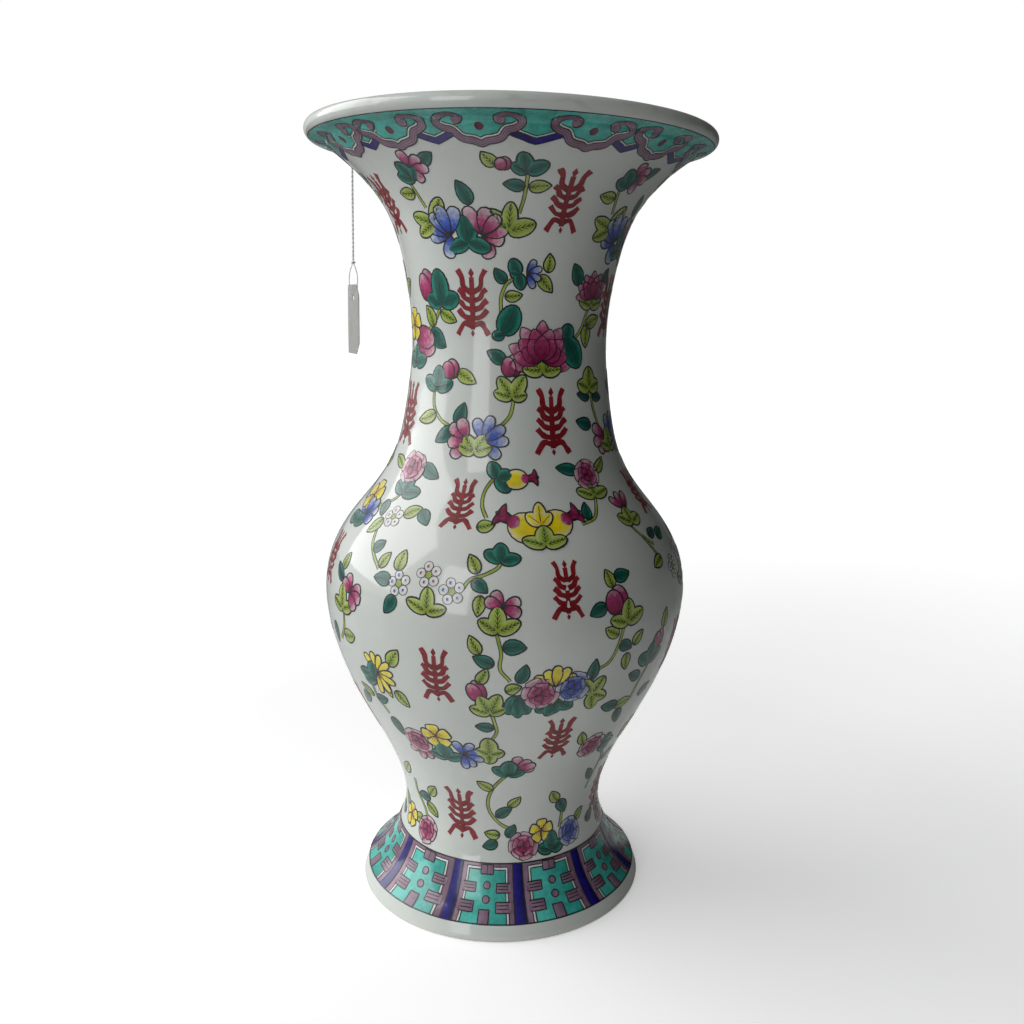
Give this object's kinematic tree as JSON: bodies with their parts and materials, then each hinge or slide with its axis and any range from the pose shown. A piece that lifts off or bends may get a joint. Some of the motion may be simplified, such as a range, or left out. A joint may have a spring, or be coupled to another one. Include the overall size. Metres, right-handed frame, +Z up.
{
  "type": "porcelain vase",
  "caption": "Tall baluster vase of painted porcelain with a wide trumpet mouth, a high shoulder and a spreading foot, with a small paper ticket hung from its lip on a string.",
  "frame": {"origin": "centre of the foot ring's underside, on the vase's axis", "axes": "+Z up along the vase's axis; the decorated front faces -Y and the ticket's string crosses the lip at the back left"},
  "size_m": [0.238, 0.238, 0.462],
  "materials": {
    "glazed_porcelain": "gloss",
    "base_glaze": "gloss",
    "luting_slip": "satin",
    "paper_tape": "matte",
    "ticket_string": "matte",
    "ticket_card": "matte"
  },
  "bodies": {
    "vase": {"mouth_section": "glazed_porcelain", "shoulder_section": "glazed_porcelain", "belly_section": "glazed_porcelain", "foot_section": "glazed_porcelain", "base_disc": "base_glaze", "slip_ring_neck": "luting_slip", "slip_ring_belly": "luting_slip", "slip_ring_stem": "luting_slip", "tape_patch": "paper_tape", "string_over_lip": "ticket_string"},
    "hanging_string": {"string_drop": "ticket_string"},
    "ticket": {"string_eye": "ticket_string", "ticket_card": "ticket_card"}
  },
  "joints": [
    {"name": "string_swing", "type": "hinge", "parent": "vase", "child": "hanging_string", "pos_m": [-0.10513, 0.05827, 0.4544], "axis": [0.4848, 0.8746, 0], "range_deg": [-15, 90]},
    {"name": "ticket_turn", "type": "hinge", "parent": "hanging_string", "child": "ticket", "pos_m": [-0.10513, 0.05827, 0.3864], "axis": [0, 0, 1], "range_deg": [-180, 180]}
  ]
}
